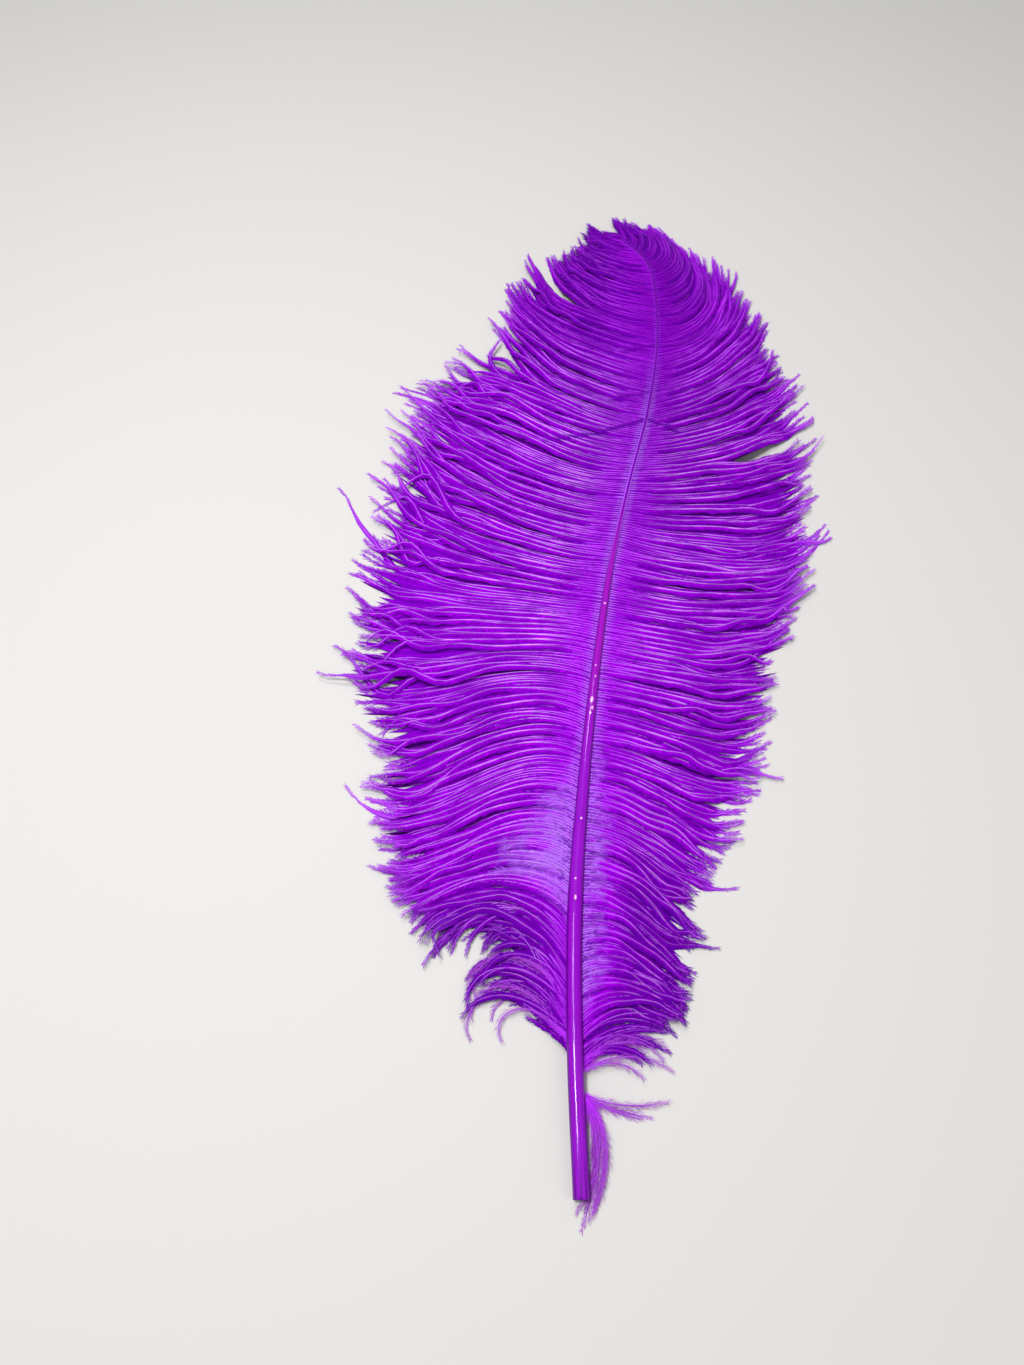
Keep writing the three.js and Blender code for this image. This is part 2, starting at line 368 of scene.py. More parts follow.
def horn_material():
    """Dyed horn: streaked and glossy, with painted shade at its edges and in its creases, and chipped.
    Its thin upper part has a groove in painted shade between two pale ridges."""
    material, shader, start = new_material("dyed horn")
    along, across, over, inside, crease = start.kept("along", "across", "over", "inside", "crease")
    vector = {0: along * 14.0, 1: across * 3.0, 2: over * 3.0}
    stretched = start.node("ShaderNodeCombineXYZ", {}, vector)
    sockets = {"Vector": stretched, "Scale": 3.0, "Detail": 5.0}
    streaks = start.node("ShaderNodeTexNoise", {}, sockets)
    stained = streaks.rises(0.35, 0.75)
    higher = along.rises(0.3, 0.42)
    colour = (stained * 0.35).chooses(HORN_COLOUR, HORN_STAIN_AND_SHADE_COLOUR)
    colour = higher.chooses(colour, HORN_UPPER_COLOUR)
    # Painted shade darkens the round sides of the shaft.
    edges = abs(across).rises(0.6, 0.96)
    colour = (edges * 0.75).chooses(colour, HORN_STAIN_AND_SHADE_COLOUR)
    # Painted shade in the creases at the quill end.
    colour = (crease.rises(0.15, 0.7) * 0.75).chooses(colour, HORN_STAIN_AND_SHADE_COLOUR)
    # On the thin upper part, painted shade marks a groove between the pale ridges.
    thin = along.rises(0.48, 0.62)
    flank = (abs(across) - along.rises(0.6, 0.75) * 0.3).rises(0.35, 0.7)
    colour = (thin * (1.0 - flank) * 0.8).chooses(colour, GROOVE_SHADE_COLOUR)
    colour = (thin * flank * (1.0 - along.rises(0.76, 0.88))).chooses(colour, RIDGE_COLOUR)
    chipped = None
    for place, beside, length, width in CHIPS:
        lengthwise = (along - place) * (shaft_length / length)
        sideways = (across - beside) / width
        distance = lengthwise * lengthwise + sideways * sideways + (streaks - 0.5) * 1.6
        chip = (1.0 - distance.rises(0.55, 1.0)) * over.rises(0.0, 0.2)
        chipped = chip if chipped is None else chipped.most(chip)
    colour = chipped.chooses(colour, CHIP_COLOUR)
    colour = inside.chooses(colour, PITH_COLOUR)
    feed(shader, "Base Color", colour)
    feed(shader, "Roughness", 0.38 + stained * 0.08 + chipped * 0.2 + inside * 0.4 + thin * 0.2)
    worn = along.rises(0.09, 0.115) * (1.0 - along.rises(0.2, 0.235))
    feed(shader, "Coat Weight", 0.34 - worn * 0.24 - thin * 0.3)
    bump = start.node("ShaderNodeBump", {}, dict(HORN_BUMP, Height=streaks - chipped * 0.8))
    feed(shader, "Normal", bump)
    set_all_over(shader, HORN_GLOSS)
    return material


points, values, rings = shaft_points()
pith = np.arange((rings - 1) * SHAFT_SIDES, rings * SHAFT_SIDES)[None]
tip = np.arange(SHAFT_SIDES)[::-1][None]
faces = [tube_faces(rings, SHAFT_SIDES), pith, tip]
add_piece("shaft", points, faces, values, horn_material())


# Right vane: soft barbs grown from the side of the shaft, which curve out and droop to the
# surface. Each is a thin stalk with two rows of silky barbules, dyed purple. Neighbours cling
# together in pairs, then in strands, tufts and locks that part at the edge of the vane.

# Each row is a barb: where it leaves the shaft, its length, and its heading in degrees
# outwards from the shaft's direction as it leaves, halfway and at its end.
RIGHT_BARBS = [
    (0.1, 46, 28, 79, 121),
    (0.14, 57, 46, 110, 144),
    (0.2, 60, 70, 122, 120),
    (0.28, 70, 80, 112, 100),
    (0.36, 90, 82, 94, 60),
    (0.44, 106, 90, 78, 50),
    (0.54, 120, 90, 72, 32),
    (0.62, 122, 70, 50, 38),
    (0.7, 122, 60, 34, 25),
    (0.78, 120, 70, 18, 4),
    (0.84, 108, 80, 2, -20),
    (0.9, 85, 73, 0, -29),
    (0.95, 57, 63, 6, -20),
    (1, 26, 44, 15, 2),
]

# Where the vane parts: share of the shaft, share of the barb from which it is open, and how
# far the barbs stand off on both sides.
RIGHT_PARTINGS = [(0.6215, 0.5, 3.0), (0.352, 0.8, 2.2), (0.24, 0.8, 1.8)]

# The surface that the barbs lie on. Its rows follow the shaft, its columns the barbs.
SURFACE_ROWS = 500
SURFACE_COLUMNS = 60
EASED_ROWS = 17  # over which the given barbs are blended
VANE_REACH = 1.2  # share of the given lengths that it is worked out to
DROOP_POWER = 1.4
LIES_FROM = 0.86  # share of a barb from which it lies down
LYING_HEIGHT = 1.3
LOWEST = 0.15

# Barbs: how they are spaced, and the share of the given lengths that they reach.
BARB_SPACING = 1.5
SPACING_VARIES = 0.15  # share of the spacing
BARB_STEPS = 24
BARB_ROOT = 0.42  # share of the shaft's width at which they start, from its middle
BARB_REACH = 0.965
REACH_VARIES = 0.028
PAIR_REACH_VARIES = 0.022
REACH_LIMITS = (0.6, 1.16)
PAIR_CLING = 0.78
UNDER_SHARE = 0.34  # of the barbs lie lower and evenly, and close the gaps between strands
UNDER_DROP = 1.7
UNDER_TANGLES = 0.3  # share of the others' swing where barbs tangle
END_SPLAY = 1.6
END_LIFT = 2.0

# Clumps of barbs: mean width, how much they cling, the shares of the barb over which they
# come to cling, how far they stand up, how much their ends differ, and how far they sway.
CLUMPS = {
    "strand": {
        "width": 4.4, "cling": (0.0, 0.42), "over": (0.12, 0.5), "lift": 0.5, "ends": 0.018, "sway": 1.2
    },
    "tuft": {
        "width": 7.5, "cling": (0.05, 0.5), "over": (0.6, 1.02), "lift": 0.7, "ends": 0.025, "sway": 1.2
    },
    "lock": {
        "width": 25, "cling": (0.0, 0.15), "over": (0.4, 1.0), "lift": 1.0, "ends": 0.02, "sway": 1.8
    },
}
MOST_CLUMPS = 400  # more than any vane has of one kind

# Sways: how many waves run along a barb, and their shares of the sway.
CLUMP_WAVES = [(0.9, 0.7), (2.1, 0.3)]
PAIR_WAVES = [(1.3, 0.6), (3.1, 0.25)]
OWN_WAVES = [(1.2, 0.5), (2.6, 0.3), (5.0, 0.1)]
CURL_WAVES = [(1.6, 0.6), (3.4, 0.4)]
SHEET_WAVES = [(1.1, 0.6), (2.7, 0.3)]
PAIR_SWAY = 1.5
OWN_SWAY = 0.9
SHEET_SWAY = 0.6

# Loose barbs, which stand apart from the others.
LOOSE_CLING = 0.2  # share of the others' cling, also for the barbs that lie lower
LOOSE_REACH = (-0.02, 0.12)  # beyond that of the others
LOOSE_SWAY = 4.0  # times that of the others
LOOSE_BEND = (-5, 15)  # how far their ends bend along the shaft
LOOSE_HOOK = 0.16  # share of its length by which an end may turn back
LOOSE_LIFT = (0.6, 2.0)
LOOSE_CHANCE = 0.95  # above any other barb's, so that their stalks shine

# Stalks, and the rows of barbules along them. Corners lie beside and above the middle, in
# shares of the width.
STALK_ROOT_WIDTH = 0.75
STALK_TIP_WIDTH = 0.22
STALK_CORNERS = [(0, 0.55), (0.5, -0.3), (-0.5, -0.3)]
BARBULE_SPACING = 0.44
BARBULE_LENGTH = 5.0
BARBULE_WIDTH = 0.34
BARBULE_FORWARD = 36  # degrees between a barbule and its stalk
BARBULE_DROOP = 30  # degrees that the rows hang down on both sides of the stalk
BARBULES_UNRULY = 12  # degrees by which their droop differs
HANGING_SHARE = 0.3  # of the barbules hang lower
HANGING_DROOP = 28  # degrees more

# The felt of short barbules close under a stalk, from one side over the middle to the other.
FELT_WIDTH = 2.1
FELT_DROP = 1.3
FELT_CORNERS = [(-1, -FELT_DROP / FELT_WIDTH), (0, -0.15), (1, -FELT_DROP / FELT_WIDTH)]
# The felt takes the painted shade that barbules have at these shares of their length.
FELT_SHADE_ASIDE = [0.95, 0.6, 0.95]  # it is dyed as barbules are at these shares of their length

# A dark sheet under the barbs, standing for the lower barbs and filling the gaps with painted shade, in
# ridges and hollows that reach shares of the barbs' length.
SHEET_PITCH = 2.2
SHEET_STEPS = 22
SHEET_ROOT = 0.3  # share of the shaft's width
SHEET_DROP = 2.0
HOLLOW_DROP = 0.9
RIDGE_REACH = (0.8, 0.95)
HOLLOW_REACH = (0.68, 0.78)


def smooth(low, high, value):
    share = np.clip((value - low) / (high - low), 0, 1)
    return share * share * (3 - 2 * share)


def barb_turn(leave, middle, end, share):
    """The heading at a share of a barb, from those as it leaves, halfway and at its end."""
    return (
        leave * (1 - share) * (1 - 2 * share)
        + middle * 4 * share * (1 - share)
        + end * share * (2 * share - 1)
    )


def walk(at, side, turn, stride):
    """Level places along barbs that leave the shaft, one stride after another."""
    ahead = shaft_ahead(at)
    heading = np.arctan2(ahead[:, 1], ahead[:, 0])[:, None] - side * np.radians(turn)
    strides = np.stack([np.cos(heading), np.sin(heading)], -1) * stride[..., None]
    gone = np.concatenate([np.zeros((len(at), 1, 2)), np.cumsum(strides, axis=1)], axis=1)
    return gone + on_shaft(at)[:, None, :2]


def vane_surface(side, barbs):
    """Places on a vane's surface: rows along the shaft, columns along the barbs."""
    given = np.array(barbs, float)
    at = np.linspace(given[0, 0], given[-1, 0], SURFACE_ROWS)
    window = np.hanning(EASED_ROWS) / np.hanning(EASED_ROWS).sum()
    eased = []
    for column in given.T[1:]:
        padded = np.pad(np.interp(at, given[:, 0], column), EASED_ROWS // 2, "edge")
        eased.append(np.convolve(padded, window, "valid")[:, None])
    length, leave, middle, end = eased
    share = (np.arange(SURFACE_COLUMNS) + 0.5) / SURFACE_COLUMNS * VANE_REACH
    turn = barb_turn(leave, middle, end, share)
    level = walk(at, side, turn, length * VANE_REACH / SURFACE_COLUMNS)
    out = np.linspace(0, VANE_REACH, SURFACE_COLUMNS + 1)
    fallen = np.clip(out / LIES_FROM, 0, 1) ** DROOP_POWER
    root = on_shaft(at)[:, 2:]
    height = root + (LYING_HEIGHT - root) * fallen
    return {
        "places": np.concatenate([level, height[..., None]], axis=-1),
        "from": given[0, 0],
        "to": given[-1, 0],
        "length": lambda where: np.interp(where, at, length[:, 0]),
    }


def on_surface(surface, at, along):
    """The place on a vane's surface, between its worked-out places."""
    row = (at - surface["from"]) / (surface["to"] - surface["from"])
    row = np.clip(row, 0, 1) * (SURFACE_ROWS - 1)
    column = np.clip(along / VANE_REACH, 0, 1) * SURFACE_COLUMNS
    i = np.minimum(row.astype(int), SURFACE_ROWS - 2)
    j = np.minimum(column.astype(int), SURFACE_COLUMNS - 1)
    down = (row - i)[..., None]
    out = (column - j)[..., None]
    places = surface["places"]
    near = places[i, j] * (1 - out) + places[i, j + 1] * out
    far = places[i + 1, j] * (1 - out) + places[i + 1, j + 1] * out
    return near * (1 - down) + far * down


def waves(rng, count, along, lengths):
    """A smooth random sway along each barb, about 1 at most."""
    sway = np.zeros((count, along.shape[1]))
    for turns, share in lengths:
        phase = rng.uniform(0, 2 * np.pi, (count, 1))
        pace = turns * rng.uniform(0.7, 1.3, (count, 1))
        sway += share * np.sin(2 * np.pi * pace * along + phase)
    return sway


def clump_barbs(surface, rng, pair_at, grip, along, place, reach):
    """Draws barbs together in strands, tufts and locks. Gives their places along the shaft,
    how far they reach, and how far they stand up."""
    lift = 0
    every = along.repeat(MOST_CLUMPS, axis=0)
    for clump in CLUMPS.values():
        widths = rng.uniform(0.5, 1.5, MOST_CLUMPS) * clump["width"] / shaft_length
        edges = surface["from"] - widths[0] * rng.uniform() + np.cumsum(widths) - widths[0]
        number = np.searchsorted(edges, pair_at) - 1
        middle = edges[number] + widths[number + 1] / 2
        cling = rng.uniform(*clump["cling"], MOST_CLUMPS)[number][:, None]
        cling = cling * smooth(*clump["over"], along)
        place = place + grip * cling * (middle[:, None] - place)
        off_middle = np.clip((pair_at - middle) / widths[number + 1] * 2, -1, 1)
        crest = 0.6 - off_middle**2 + rng.uniform(-0.6, 0.6, MOST_CLUMPS)[number]
        crest = crest * clump["lift"]
        lift = lift + crest[:, None] * smooth(0.12, 0.55, along)
        sway = waves(rng, MOST_CLUMPS, every, CLUMP_WAVES)[number]
        place = place + grip * sway * clump["sway"] * smooth(0.15, 0.7, along) / shaft_length
        ends = rng.normal(0, clump["ends"], MOST_CLUMPS)[number]
        reach = reach + ends - clump["ends"] * off_middle**2
    return place, reach, lift


def part_barbs(place, pair_at, loose, along, partings):
    """Pushes barbs aside where the vane parts, and loose ones half as far to the quill."""
    for parting, opens, stands_off in partings:
        away = np.abs(place - parting) * shaft_length
        push = stands_off * np.exp(-away / (3 * stands_off))
        push = push * smooth(opens - 0.15, opens + 0.2, along)
        aside = np.where(loose, -0.5, np.sign(pair_at - parting))[:, None]
        place = place + aside * push / shaft_length
    return place


def barb_sways(rng, place, along, loose, under, tangles):
    """How far each barb sways by itself, in millimetres, and in all, as a share of the
    shaft."""
    count = len(along)
    pair_sway = waves(rng, count // 2, along[::2], PAIR_WAVES).repeat(2, axis=0)
    own_sway = waves(rng, count, along, OWN_WAVES)
    own_sway = own_sway * np.where(loose, LOOSE_SWAY, 1.0)[:, None]
    unruly = np.where(under, UNDER_TANGLES, 1.0)[:, None]
    curls = waves(rng, count, along, CURL_WAVES) * rng.uniform(0.2, 1.5, (count, 1))
    for tangle, opens, breadth, throw in tangles:
        tangled = np.exp(-(((place - tangle) / breadth) ** 2))
        tangled = tangled * smooth(opens - 0.2, opens + 0.25, along)
        own_sway = own_sway + curls * tangled * throw * unruly
    splay = rng.normal(0, END_SPLAY, count)[:, None] * smooth(0.78, 1.05, along)
    sway = (pair_sway * PAIR_SWAY + own_sway * OWN_SWAY) * smooth(0.08, 0.9, along)
    return own_sway, (sway + splay) / shaft_length


def lift_barbs(lines, rng, along, loose, under, lift, own_sway):
    """Raises and sinks barbs, so that they lie over one another."""
    count = len(along)
    pair_lift = rng.uniform(-0.5, 0.5, count // 2).repeat(2)[:, None] * smooth(0.02, 0.3, along)
    loose_lift = np.where(loose, rng.uniform(*LOOSE_LIFT, count), 0)[:, None]
    loose_lift = loose_lift * smooth(0.1, 0.4, along)
    end_lift = rng.uniform(0, END_LIFT, count)[:, None] * smooth(0.75, 1.0, along)
    sunk = -UNDER_DROP * smooth(0.02, 0.15, along)
    lines[..., 2] += np.where(under[:, None], sunk, lift + end_lift)
    lines[..., 2] += pair_lift + loose_lift + 0.3 * own_sway * smooth(0.1, 0.5, along)
    lines[..., 2] = np.maximum(lines[..., 2], LOWEST + 0.3)


def barb_lines(surface, rng, partings, tangles, strays, loose_share):
    """Lines of a vane's barbs over its surface, with the shares of their length, where they
    leave the shaft and which of them are loose."""
    run = (surface["to"] - surface["from"]) * shaft_length
    count = int(run / BARB_SPACING) // 2 * 2
    at = np.linspace(surface["from"], surface["to"], count)
    at = at + rng.normal(0, SPACING_VARIES, count) * BARB_SPACING / shaft_length
    at = np.clip(at, surface["from"], surface["to"])
    pair_at = at.reshape(-1, 2).mean(1).repeat(2)
    loose = rng.uniform(0, 1, count) < loose_share
    under = ~loose & (rng.uniform(0, 1, count // 2).repeat(2) < UNDER_SHARE)
    grip = np.where(loose | under, LOOSE_CLING, 1.0)[:, None]
    reach = BARB_REACH + rng.normal(0, REACH_VARIES, count)
    reach = reach + rng.normal(0, PAIR_REACH_VARIES, count // 2).repeat(2)
    reach = reach + np.where(loose, rng.uniform(*LOOSE_REACH, count), 0)
    along = np.linspace(0, 1, BARB_STEPS + 1)[None]
    place = at[:, None] + grip * PAIR_CLING * smooth(0.04, 0.28, along) * (pair_at - at)[:, None]
    place, reach, lift = clump_barbs(surface, rng, pair_at, grip, along, place, reach)
    place = part_barbs(place, pair_at, loose, along, partings)
    reach = np.clip(reach, *REACH_LIMITS)
    for stray, length, swing in strays:
        barb = np.abs(at - stray).argmin()
        reach[barb] = length
        place[barb] += swing * smooth(0.65, 1.1, along[0]) / shaft_length
    first = shaft_width(at) * BARB_ROOT / surface["length"](at)
    along = first[:, None] + (reach - first)[:, None] * along
    own_sway, sway = barb_sways(rng, place, along, loose, under, tangles)
    bend = rng.uniform(*LOOSE_BEND, count) * (1 - smooth(0.7, 0.95, at)) / shaft_length
    bend = np.where(loose, bend, 0)[:, None] * smooth(0.5, 1.05, along) ** 1.5
    hook = np.where(loose, rng.uniform(0, LOOSE_HOOK, count), 0)[:, None]
    hook = hook * smooth(0.7, 1.1, along) ** 2
    lines = on_surface(surface, place + sway + bend, along - hook)
    lift_barbs(lines, rng, along, loose, under, lift, own_sway)
    return lines, along, at, loose


def between(values, barb, step):
    """Values at places between the steps of the barbs."""
    low = np.minimum(step.astype(int), values.shape[1] - 2)
    share = step - low
    if values.ndim == 3:
        share = share[:, None]
    return values[barb, low] * (1 - share) + values[barb, low + 1] * share


def barb_frames(lines, along, at, loose, rng):
    """What stalks and barbules are set out from: the barbs' lines, the ways ahead, beside
    and above them, how far they have run, and a chance that varies the dye and the painted highlight."""
    count = len(lines)
    way = unit(np.gradient(lines, axis=1))
    beside = unit(np.cross(way, (0, 0, 1)))
    chance = rng.uniform(0, 0.6, count // 2).repeat(2) + rng.uniform(0, 0.2, count)
    gone = np.cumsum(np.linalg.norm(np.diff(lines, axis=1), axis=2), axis=1)
    return {
        "lines": lines,
        "along": along,
        "at": at,
        "way": way,
        "beside": beside,
        "above": np.cross(beside, way),
        "far": np.concatenate([np.zeros((count, 1)), gone], axis=1),
        "chance": np.where(loose, LOOSE_CHANCE, chance),
    }


def ribbons(barbs, corners, asides, broad, ring_faces):
    """Rings of points round the barbs' lines, with their faces, values and flat chart."""
    corners = np.array(corners)
    count, steps = barbs["along"].shape
    sides = len(corners)
    points = (
        barbs["lines"][:, :, None]
        + barbs["beside"][:, :, None] * (corners[:, 0, None] * broad[..., None, None])
        + barbs["above"][:, :, None] * (corners[:, 1, None] * broad[..., None, None])
    )
    row = np.arange(count)
    faces = ring_faces[None] + (row * steps * sides)[:, None, None]
    values = {
        "along": np.repeat(barbs["along"], sides, axis=1).ravel(),
        "far": np.repeat(barbs["far"], sides, axis=1).ravel(),
        "aside": np.tile(asides, count * steps),
        "place": np.repeat(barbs["at"], steps * sides),
        "chance": np.repeat(barbs["chance"], steps * sides),
    }
    across = np.repeat(row, steps * sides) + 0.5 + np.tile(corners[:, 0] * 0.2, count * steps)
    chart = np.stack([values["along"] / VANE_REACH, across / count], axis=-1)
    return points.reshape(-1, 3), faces.reshape(-1, 4), values, chart


def stalk_ribbons(barbs, looks):
    """Three-sided stalks that taper towards their ends."""
    along = barbs["along"]
    width = looks["stalk"] - (looks["stalk"] - STALK_TIP_WIDTH) * np.clip(along, 0, 1) ** 0.8
    faces = tube_faces(along.shape[1], 3)
    return ribbons(barbs, STALK_CORNERS, [0.0, 0.0, 0.0], width, faces)


def felt_ribbons(barbs, rng, looks):
    """A low roof of felt close under each stalk, narrow at both ends."""
    along = barbs["along"]
    full = smooth(-0.02, 0.05, along) * (1 - smooth(0.76, 1.0, along / along[:, -1:]))
    width = looks["felt"] * full * rng.uniform(0.7, 1.25, along.shape)
    slopes = np.array([(0, 1, 4, 3), (1, 2, 5, 4)])
    faces = (np.arange(along.shape[1] - 1) * 3)[:, None, None] + slopes
    return ribbons(barbs, FELT_CORNERS, FELT_SHADE_ASIDE, width, faces.reshape(-1, 4))


def barbules(barbs, rng, looks):
    """Two rows of barbules along each barb: thin blades that bend forwards and down."""
    count, steps = barbs["along"].shape
    run = barbs["far"][:, -1]
    per_side = np.maximum((run / looks["spacing"]).astype(int), 4)
    barb = np.repeat(np.arange(count), per_side * 2)
    total = len(barb)
    within = np.arange(total) - np.repeat(np.cumsum(per_side * 2) - per_side * 2, per_side * 2)
    share = (within // 2 + rng.uniform(0, 1, total)) / per_side[barb]
    flank = np.where(within % 2 == 0, 1.0, -1.0)[:, None]
    step = np.clip(share, 0, 0.9999) * (steps - 1)
    wanted = ("lines", "way", "beside", "above", "along", "far")
    foot, forward, sideways, upwards, along, far = (
        between(barbs[name], barb, step) for name in wanted
    )
    fullness = 0.35 + 0.65 * smooth(0.0, 0.12, along)
    fullness = fullness * (1 - 0.55 * smooth(0.72, 1.05, along))
    length = (looks["length"] * fullness * rng.uniform(0.65, 1.25, total))[:, None]
    lean = np.radians(looks["forward"] * rng.uniform(0.65, 1.35, total))[:, None]
    hanging = rng.uniform(0, 1, total) < HANGING_SHARE
    droop = looks["droop"] + np.where(hanging, HANGING_DROOP, 0)
    droop = np.radians(droop + rng.normal(0, looks["unruly"], total))[:, None]
    outwards = flank * sideways * np.cos(droop) - upwards * np.sin(droop)
    lower = flank * sideways * np.cos(droop + 0.35) - upwards * np.sin(droop + 0.35)
    first_way = forward * np.cos(lean) + outwards * np.sin(lean)
    last_way = forward * np.cos(lean * 0.62) + lower * np.sin(lean * 0.62)
    middle = foot + first_way * length * 0.48
    end = middle + last_way * length * 0.52
    face_up = unit(np.cross(forward, outwards))
    half_width = (looks["width"] * rng.uniform(0.6, 1.2, total) / 2)[:, None]
    breadth = unit(np.cross(first_way, face_up)) * half_width
    points = np.stack([foot, middle + breadth, middle - breadth, end], axis=1).reshape(-1, 3)
    start = np.arange(total)[:, None] * 4
    faces = np.concatenate([start + (0, 1, 2), start + (2, 1, 3)])
    aside = np.array([0, 0.5, 0.5, 1.0])
    values = {
        "along": (along[:, None] + aside * 0.03).ravel(),
        "far": (far[:, None] + aside * looks["length"]).ravel(),
        # Hanging barbules are set further along the painted shade, so they are darker.
        "aside": (aside + np.where(hanging, 0.25, 0)[:, None] * aside).ravel(),
        "place": np.repeat(barbs["at"][barb], 4),
        "chance": np.repeat(barbs["chance"][barb] + rng.uniform(-0.05, 0.05, total), 4),
    }
    narrow = np.array([0, 0.5, -0.5, 0]) * 0.6 * looks["spacing"] / run[barb][:, None]
    chart_along = (along[:, None] / VANE_REACH + narrow).ravel()
    chart_across = ((barb + 0.5)[:, None] + 0.45 * flank * aside).ravel() / count
    return points, faces, values, np.stack([chart_along, chart_across], axis=-1)


def barb_mesh(lines, along, at, loose, rng, looks):
    """Stalks, the felt close under them and the rows of barbules, as one mesh."""
    barbs = barb_frames(lines, along, at, loose, rng)
    stalks = stalk_ribbons(barbs, looks)
    felt = felt_ribbons(barbs, rng, looks)
    points, faces, values, charts = zip(stalks, felt, barbules(barbs, rng, looks))
    starts = np.cumsum([0] + [len(part) for part in points])
    faces = [part + start for part, start in zip(faces, starts)]
    points = np.concatenate(points)
    points[:, 2] = np.maximum(points[:, 2], LOWEST)
    values = {name: np.concatenate([part[name] for part in values]) for name in values[0]}
    return points, faces, values, np.concatenate(charts)


def shaded_under_sheet_mesh(surface, rng, partings):
    """A sheet for the lower barbs in painted shade, ribbed where they lie, with ragged ends."""
    count = int((surface["to"] - surface["from"]) * shaft_length / SHEET_PITCH)
    at = np.linspace(surface["from"], surface["to"], 2 * count + 1)
    ridge = np.arange(len(at)) % 2 == 1
    ridge_reach = rng.uniform(*RIDGE_REACH, len(at))
    reach = np.where(ridge, ridge_reach, rng.uniform(*HOLLOW_REACH, len(at)))
    for parting, opens, stands_off in partings:
        parted = np.exp(-(((at - parting) * shaft_length / stands_off / 1.3) ** 2))
        reach = reach - parted * np.maximum(reach - opens, 0)
    first = shaft_width(at) * SHEET_ROOT / surface["length"](at)
    along = first[:, None] + (reach - first)[:, None] * np.linspace(0, 1, SHEET_STEPS + 1)
    sway = waves(rng, count + 1, along[::2], SHEET_WAVES).repeat(2, axis=0)[: len(at)]
    sway[1::2] = (sway[:-1:2] + sway[2::2]) / 2
    inner = (at - at[0])[:, None] * (at[-1] - at)[:, None] > 1e-4
    lines = on_surface(surface, at[:, None] + sway * inner * SHEET_SWAY / shaft_length, along)
    drop = SHEET_DROP + np.where(ridge, 0, HOLLOW_DROP)[:, None] + rng.normal(0, 0.15, along.shape)
    lines[..., 2] = np.maximum(lines[..., 2] - drop * smooth(0.0, 0.08, along), LOWEST)
    rows, columns = along.shape
    corner = (np.arange(rows - 1)[:, None] * columns + np.arange(columns - 1)).reshape(-1, 1)
    faces = corner + (0, 1, columns + 1, columns)
    far = along * surface["length"](at)[:, None]
    chance = rng.uniform(0, 1, (rows, 1)) + np.zeros(along.shape)
    values = {
        "along": along.ravel(),
        "far": far.ravel(),
        # The sheet is coloured as barbule ends are, in painted shade, darkest in its hollows.
        "aside": np.repeat(np.where(ridge, 0.7, 1.0), columns),
        "place": np.repeat(at, columns),
        "chance": chance.ravel(),
    }
    chart = np.stack([along / VANE_REACH, np.linspace(0, 1, rows)[:, None] + 0 * along], axis=-1)
    return lines.reshape(-1, 3), [faces], values, chart.reshape(-1, 2)


VANE_LOOKS = {
    "stalk": STALK_ROOT_WIDTH,
    "felt": FELT_WIDTH,
    "spacing": BARBULE_SPACING,
    "length": BARBULE_LENGTH,
    "width": BARBULE_WIDTH,
    "forward": BARBULE_FORWARD,
    "droop": BARBULE_DROOP,
    "unruly": BARBULES_UNRULY,
}
# The stalks' colour is a painted highlight.
STALK_HIGHLIGHT_COLOUR = rgb(0.76, 0.33, 1.0)
SILK_COLOUR = rgb(0.56, 0.0, 1.0)
SHADED_COLOUR = rgb(0.14, 0.0, 0.40)
# Painted shade for the upper half and for the shaded patches.
DEEP_SHADE_COLOUR = rgb(0.09, 0.0, 0.30)
BAND_SHEEN_COLOUR = rgb(0.58, 0.24, 0.97)
FUZZ_COLOUR = rgb(0.52, 0.10, 0.86)
SILK_GLOSS = {"Specular IOR Level": 0.07, "Specular Tint": rgb(0.7, 0.15, 1.0)}


